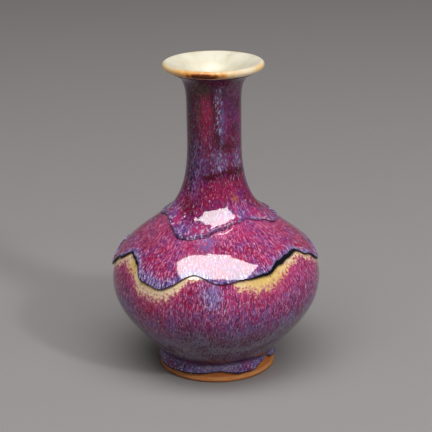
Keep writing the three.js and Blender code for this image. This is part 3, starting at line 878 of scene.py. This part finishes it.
def creamMaterial():
    s = creamFinish
    material, tree, shader, position = newMaterial("creamGlazeMaterial")
    run = attribute(tree, "run")
    soft = clouds(tree, position, s["softScale"], 4.0)
    fine = clouds(tree, position, s["fineScale"], 2.0)
    smudge = clouds(tree, position, s["smudgeScale"], 3.0)
    colour = layer(tree, s["light"], s["shade"], soft, s["shading"])
    colour = layer(tree, colour, s["smudge"], smudge, s["smudges"])
    atEdge = ramp(tree, run, formLength - 1.0, formLength + 2.5)
    colour = lay(tree, colour, s["edge"], atEdge, s["edgeShare"])
    loose = times(tree, centred(tree, fine), 1.2)
    for angle, width, place, tall, share, fade, tone in s["stains"]:
        middle = formLength + place
        mask = patchAt(tree, position, run, loose, angle, clayForm["lipRadius"], width, middle, tall, fade)
        colour = lay(tree, colour, tone, mask, share)
    waved(tree, shader, position, colour, soft)
    shader.inputs["Roughness"].default_value = s["roughness"]
    shader.inputs["Specular IOR Level"].default_value = s["specular"]
    return material


clayFinish = {
    "grainScale": 900.0, "softScale": 120.0, "roughness": (0.55, 0.8), "bumpStrength": 0.5,
    "bumpDepth": 0.0001, "light": srgb(214, 130, 64), "dark": srgb(184, 104, 48), "mottle": (0.35, 0.65),
    "paintedSheen": srgb(236, 170, 104), "paintedSheenBelow": (0.0008, 0.0014), "paintedSheenAbove": (0.003, 0.0022),
    "paintedSheenShares": (0.15, 0.6), "speck": srgb(116, 66, 36), "specks": (0.55, 0.7, 0.35),
    "contactShade": srgb(84, 50, 30), "contactShadeEdge": (0.0009, 0.0, 0.8),
}


def firedClayMaterial():
    s = clayFinish
    material, tree, shader, position = newMaterial("firedClayMaterial")
    grain = clouds(tree, position, s["grainScale"], 3.0)
    soft = clouds(tree, position, s["softScale"], 3.0)
    place = newNode(tree, "ShaderNodeSeparateXYZ")
    feed(tree, place.inputs[0], position)
    height = place.outputs["Z"]
    colour = layer(tree, s["light"], s["dark"], soft, s["mottle"])
    # painted highlight: a lighter band round the foot ring stands in for its sheen
    paintedSheen = times(tree, span(tree, height, *s["paintedSheenBelow"]), span(tree, height, *s["paintedSheenAbove"]))
    colour = lay(tree, colour, s["paintedSheen"], paintedSheen, ramp(tree, soft, 0.4, 0.6, *s["paintedSheenShares"]))
    colour = layer(tree, colour, s["speck"], grain, s["specks"])
    # painted shade: darker along the bottom edge where the foot meets the floor
    colour = layer(tree, colour, s["contactShade"], height, s["contactShadeEdge"])
    feed(tree, shader.inputs["Base Color"], colour)
    feed(tree, shader.inputs["Roughness"], ramp(tree, grain, 0.2, 0.8, *s["roughness"]))
    feed(tree, shader.inputs["Normal"], bumped(tree, grain, s["bumpDepth"], s["bumpStrength"]))
    return material


# Pieces: what runs round the vase is a list of (angle, amount)

reliefSizes = {
    "swell": 0.045, "swellTurns": 3, "swellPitch": 0.11, "throwing": 0.005, "throwingPitch": 1.35,
    "flutes": 0.05, "fluteTurns": 7, "fade": (2, 9),
}


def surfaceRelief(angle, seed, amount):
    # slow swells of the glaze, finger rings of throwing and shallow runs down the wall
    s = reliefSizes
    turn = math.radians(angle)
    side = (math.cos(turn) * s["swellTurns"], math.sin(turn) * s["swellTurns"])

    def relief(past):
        swell = np.array([noise.noise(Vector((*side, p * s["swellPitch"] + seed))) for p in past])
        rings = np.sin(past * s["throwingPitch"] + 3 * seed) * s["throwing"]
        runs = around(angle, s["fluteTurns"], seed) * s["flutes"]
        return amount * smoothStep(past, *s["fade"]) * (swell * s["swell"] + rings + runs)
    return relief


lowerCoat = {
    "seed": 1.0, "relief": 0.7,
    "halo": ((-92, 3.5), (-72, 4.0), (-60, 5.5), (-38, 6.0), (-22, 4.5), (-12, 1.5), (-4, 0.2), (8, 0.2),
             (14, 4.5), (24, 6.5), (36, 6.0), (50, 3.5), (66, 2.6), (90, 1.6), (130, 5.5), (170, 4.0),
             (215, 6.5), (250, 4.5)),
}


def lowerSection(angle):
    foot = glazeEdges["foot"]
    relief = surfaceRelief(angle, lowerCoat["seed"], lowerCoat["relief"])
    end = edgeRun(glazeEdges["ledge"], angle) + lap
    return coatSection("lower", edgeRun(foot, angle), end, beadAt(foot, angle),
                       lambda past: seat + 0 * np.asarray(past), True, relief)


def addLowerGlaze():
    extras = {"haloWidth": lowerCoat["halo"]}
    piece = coatPiece("lowerGlazeCoat", lowerSection, extras, lowerMaterial(), "lower_glaze")
    # distance below the ledge, measured along the run at each vertex's own angle
    mesh = piece.data
    ledgeAt = [edgeRun(glazeEdges["ledge"], angle) for angle in range(360)]
    runs = [item.value for item in mesh.attributes["run"].data]
    below = mesh.attributes.new("below", "FLOAT", "POINT")
    for vert, run, item in zip(mesh.vertices, runs, below.data):
        angle = math.degrees(math.atan2(vert.co.x, -vert.co.y)) % 360
        low = int(angle) % 360
        ledge = blend(ledgeAt[low], ledgeAt[(low + 1) % 360], angle - int(angle))
        item.value = ledge - run


shoulderCoat = {
    "seed": 2.0, "relief": 1.0, "frontRoll": (13.0, 26.0), "front": (0.1, 0.6),
    # ink: width of the black line at the ledge, partly the glaze's dark edge and partly painted shade under
    # the bead
    "ink": ((-92, 0.5), (-66, 1.2), (-52, 1.4), (-44, 0.1), (-30, -0.2), (-14, 0.2), (4, -0.8), (14, 0.3),
            (30, 1.3), (42, 2.4), (56, 2.0), (72, 0.4), (100, 0.8), (140, 0.5), (180, 1.0), (230, 0.6)),
    "band": ((-88, 3.0), (-60, 4.2), (-45, 5.5), (-25, 4.6), (-8, 2.4), (10, 2.6), (30, 3.6), (50, 4.8),
             (70, 3.4), (100, 3.0), (150, 4.6), (200, 3.2), (240, 4.0)),
}


def shoulderSection(angle):
    ledge = glazeEdges["ledge"]
    bead = beadAt(ledge, angle)
    end = edgeRun(glazeEdges["tongue"], angle) + lap
    # the thick lower part of the coat reaches further up at the front
    front = smoothStep(math.cos(math.radians(angle)), *shoulderCoat["front"])
    roll = [blend(near, far, front) for near, far in zip(beadRoll(bead), shoulderCoat["frontRoll"])]
    relief = surfaceRelief(angle, shoulderCoat["seed"], shoulderCoat["relief"])
    return coatSection("shoulder", edgeRun(ledge, angle), end, bead,
                       lambda past: coveringSeat("lower", past), True, relief, roll)


def addShoulderGlaze():
    extras = {"inkAndShadeWidth": shoulderCoat["ink"], "bandWidth": shoulderCoat["band"]}
    material = shoulderMaterial()
    coatPiece("shoulderGlazeCoat", shoulderSection, extras, material, "shoulder_glaze")


neckCoat = {
    "seed": 3.0, "relief": 0.8, "pool": 1.2, "poolReach": 16.0,
    "poolShare": ((-98, 0.0), (-68, 1.2), (-40, 1.25), (-10, 1.0), (20, 0.75), (50, 0.1), (118, 0.6),
                  (168, 0.0), (210, 0.6), (240, 0.0)),
    "rimShare": ((-100, 0.6), (-70, 0.8), (-10, 0.85), (10, 0.5), (26, 0.25), (60, 0.3), (100, 0.7),
                 (170, 0.5), (230, 0.8)),
}


def neckSection(angle):
    tongue = glazeEdges["tongue"]
    bead = beadAt(tongue, angle)
    swells = surfaceRelief(angle, neckCoat["seed"], neckCoat["relief"])
    pool = neckCoat["pool"] * eased(neckCoat["poolShare"], angle)

    def relief(past):
        # the coat pools at the root of the neck
        fading = 1 - smoothStep(past, bead * 2, neckCoat["poolReach"])
        return swells(past) + pool * smoothStep(past, bead / 2, bead * 2) * fading

    return coatSection("neck", edgeRun(tongue, angle), underlipRun - coatSizes["spacing"], bead,
                       lambda past: coveringSeat("shoulder", past), False, relief)


def addNeckGlaze():
    extras = {"rimShare": neckCoat["rimShare"]}
    coatPiece("neckGlazeCoat", neckSection, extras, neckMaterial(), "neck_glaze")


# lipRun and endRun say how far past the clay's outline the lip and the coat's end count as run
creamCoat = {
    "columns": 224, "wallRows": 40, "neckRows": 30, "lipRows": 14, "endRows": 5,
    "lipRun": 4.2, "endRun": 4.5, "lipWobble": 0.12, "wobbleReach": 3.0,
}


def addCreamGlaze(material):
    s = creamCoat
    wallRuns = np.concatenate([np.linspace(springRun, straightRun, s["wallRows"])[1:],
                               np.linspace(straightRun, formLength, s["neckRows"])[1:-1]])
    under = np.linspace(formLength, underlipRun + coatSizes["spacing"], s["endRows"])

    def skinLine(coat):
        lip = lipRound(clayForm["lipWall"] / 2 + coat, s["lipRows"])
        points = [floorCurve(coat), insideWall(wallRuns, coat), lip, onForm(under, coat)[1:]]
        runs = [np.zeros(len(points[0])), wallRuns, formLength + np.linspace(0, s["lipRun"], len(lip)),
                np.full(len(points[3]), formLength + s["endRun"])]
        return np.concatenate(points), np.concatenate(runs)

    inner = clayForm["insideSeat"]
    claySide, claySideRun = skinLine(inner)
    freeSide, freeSideRun = skinLine(inner + coatSizes["inside"])
    profile = np.concatenate([claySide, freeSide[::-1]])
    runs = np.concatenate([claySideRun, freeSideRun[::-1]])
    atLip = runs > formLength - s["wobbleReach"]

    def wobble(angle, row):
        return s["lipWobble"] * around(angle, 4, 5.5) if atLip[row] and row >= len(claySide) else 0.0

    turnedPiece("creamInsideCoat", profile, s["columns"], material, "interior_glaze",
                runs, wobble)


baseCoat = {"columns": 160, "cornerSteps": 6, "flatSteps": 7}


def addBaseGlaze(material):
    f, s = clayForm, baseCoat
    turns = np.radians(np.linspace(90, 0, s["cornerSteps"] + 1))

    def skinLine(coat):
        depth, radius, fillet = f["recessDepth"] - coat, f["recessRadius"] - coat, f["recessFillet"]
        flat = np.linspace(0, radius - fillet, s["flatSteps"] + 1)[:-1]
        corner = np.stack([np.cos(turns), np.sin(turns)], axis=-1) * fillet
        corner += (radius - fillet, depth - fillet)
        return np.concatenate([np.stack([flat, np.full(len(flat), depth)], axis=-1), corner])

    low = skinLine(f["insideSeat"] + coatSizes["base"])
    high = skinLine(f["insideSeat"])
    profile = np.concatenate([low, high[::-1]])
    turnedPiece("creamBaseCoat", profile, s["columns"], material, "base_glaze")


footClay = {
    "columns": 224, "footRows": 14, "bowlRows": 30, "insideRows": 24, "softInside": 0.25,
    "softOutside": 0.25, "softOutsideRise": 0.22, "recessCorner": 0.45,
}


def addFootClay(material):
    # the thrown bowl with its turned foot ring, up to the waist joint
    f, s = clayForm, footClay
    chamfer = f["ringChamfer"]
    lowRim = f["waistSeam"] - f["slip"] / 2
    outerRuns = np.concatenate([np.linspace(chamfer, springRun, s["footRows"]),
                                np.linspace(springRun, float(runAtHeight(lowRim)), s["bowlRows"])[1:]])
    allRuns = np.linspace(springRun, waistRun + 4, 400)
    insideEnd = float(np.interp(lowRim - f["seamBevel"], insideWall(allRuns)[:, 1], allRuns))
    innerRuns = np.linspace(insideEnd, springRun, s["insideRows"])[:-1]
    depth, recess, inner = f["recessDepth"], f["recessRadius"], f["ringInnerRadius"]
    ring = [(0, depth), (recess - f["recessFillet"], depth),
            (recess - s["recessCorner"], depth - s["recessCorner"]), (recess, depth - f["recessFillet"]),
            (inner, chamfer), (inner + s["softInside"], s["softInside"]), (inner + chamfer, 0),
            (f["footRadius"] - chamfer, 0), (f["footRadius"] - s["softOutside"], s["softOutsideRise"])]
    profile = np.concatenate([ring, onForm(outerRuns), insideWall(innerRuns), floorCurve(0.0)[::-1]])
    turnedPiece("footAndBowl", profile, s["columns"], material, "lower_body")


def dressHiddenClay(material):
    for name in ("upper_body", "neck", "waist_luting_slip", "neck_luting_slip"):
        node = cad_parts[name]
        node.data.materials.clear()
        node.data.materials.append(material)


clay = firedClayMaterial()
cream = creamMaterial()
addFootClay(clay)
dressHiddenClay(clay)
addCreamGlaze(cream)
addBaseGlaze(cream)
addLowerGlaze()
addShoulderGlaze()
addNeckGlaze()

# Floor, light and camera, in metres and watts

studio = {
    "floorSize": 6.0, "floorColour": srgb(152, 148, 147), "floorRoughness": 0.9, "floorSpecular": 0.1,
    "softboxWidth": 2.47, "softboxDepth": 1.32, "softboxHeight": 2.1, "softboxForward": 0.84,
    "softboxAside": 0.067, "softboxTurn": -4.0, "softboxPower": 50.0, "glintPower": 178.0,
    "glintDrop": 0.02, "sideTurn": 42.0, "sideRise": 36.0, "sideDistance": 1.6, "sideSize": 0.14,
    "sidePower": 7.6, "sideTarget": (0, 0, 0.07), "sky": srgb(214, 212, 210), "skyLevel": 0.17,
    "backdrop": srgb(123, 117, 115),
}


def addFloor():
    bm = bmesh.new()
    bmesh.ops.create_grid(bm, x_segments=1, y_segments=1, size=studio["floorSize"] / 2)
    material, _, shader, _ = newMaterial("paperFloor")
    shader.inputs["Base Color"].default_value = studio["floorColour"]
    shader.inputs["Roughness"].default_value = studio["floorRoughness"]
    shader.inputs["Specular IOR Level"].default_value = studio["floorSpecular"]
    addMesh("studioFloor", bm, material)


def addAreaLight(name, place, target, width, depth, power, turn=0.0):
    data = bpy.data.lights.new(name, "AREA")
    data.shape = "RECTANGLE"
    data.size, data.size_y = width, depth
    data.energy = power
    light = addObject(name, data)
    light.location = place
    aim = (Vector(target) - Vector(place)).to_track_quat("-Z", "Y").to_matrix()
    light.rotation_euler = (Matrix.Rotation(math.radians(turn), 3, "Z") @ aim).to_euler()
    return light


def addLights():
    s = studio
    above = (s["softboxAside"], -s["softboxForward"], s["softboxHeight"])
    below = (s["softboxAside"], -s["softboxForward"] + 0.001, 0)  # just off plumb, so the turn is defined
    size = (s["softboxWidth"], s["softboxDepth"])
    addAreaLight("softbox", above, below, *size, s["softboxPower"], s["softboxTurn"])
    above = (above[0], above[1], above[2] - s["glintDrop"])
    glint = addAreaLight("softboxGlint", above, below, *size, s["glintPower"], s["softboxTurn"])
    glint.visible_diffuse = False
    turn, rise = math.radians(s["sideTurn"]), math.radians(s["sideRise"])
    out = Vector((math.sin(turn) * math.cos(rise), -math.cos(turn) * math.cos(rise), math.sin(rise)))
    place = out * s["sideDistance"]
    side = addAreaLight("sideLamp", place, s["sideTarget"], s["sideSize"], s["sideSize"], s["sidePower"])
    side.visible_glossy = False


def addWorld():
    # the sky lights the vase, the backdrop is what the camera, the gloss and clear things see
    world = bpy.data.worlds.new("studioWorld")
    world.use_nodes = True
    tree = world.node_tree
    tree.nodes.clear()
    sky = newNode(tree, "ShaderNodeBackground")
    sky.inputs["Color"].default_value = studio["sky"]
    sky.inputs["Strength"].default_value = studio["skyLevel"]
    backdrop = newNode(tree, "ShaderNodeBackground")
    backdrop.inputs["Color"].default_value = studio["backdrop"]
    ray = newNode(tree, "ShaderNodeLightPath")
    seen = calc(tree, "MAXIMUM", ray.outputs["Is Camera Ray"], ray.outputs["Is Glossy Ray"])
    seen = calc(tree, "MAXIMUM", seen, ray.outputs["Is Transmission Ray"])
    chosen = newNode(tree, "ShaderNodeMixShader")
    feed(tree, chosen.inputs[0], seen)
    tree.links.new(sky.outputs[0], chosen.inputs[1])
    tree.links.new(backdrop.outputs[0], chosen.inputs[2])
    tree.links.new(chosen.outputs[0], newNode(tree, "ShaderNodeOutputWorld").inputs["Surface"])
    bpy.context.scene.world = world


# pixels is the focal length at a frame of that many pixels, aside the shift of the frame in pixels
cameraSizes = {
    "pixels": 1400.0, "frame": 432.0, "aside": 0.7, "sensor": 36,
    "back": 0.633, "height": 0.293, "pitch": 19.05, "roll": -0.8,
}


def addCamera():
    s = cameraSizes
    data = bpy.data.cameras.new("photoCamera")
    data.sensor_width = s["sensor"]
    data.lens = s["sensor"] * s["pixels"] / s["frame"]
    data.shift_x = s["aside"] / s["frame"]
    data.clip_start = 0.01
    camera = addObject("photoCamera", data)
    camera.matrix_world = (Matrix.Translation((0, -s["back"], s["height"]))
                           @ Matrix.Rotation(math.radians(90 - s["pitch"]), 4, "X")
                           @ Matrix.Rotation(math.radians(s["roll"]), 4, "Z"))
    bpy.context.scene.camera = camera


addFloor()
addLights()
addWorld()
addCamera()
bpy.context.scene.view_settings.view_transform = "Standard"
print("stage set")
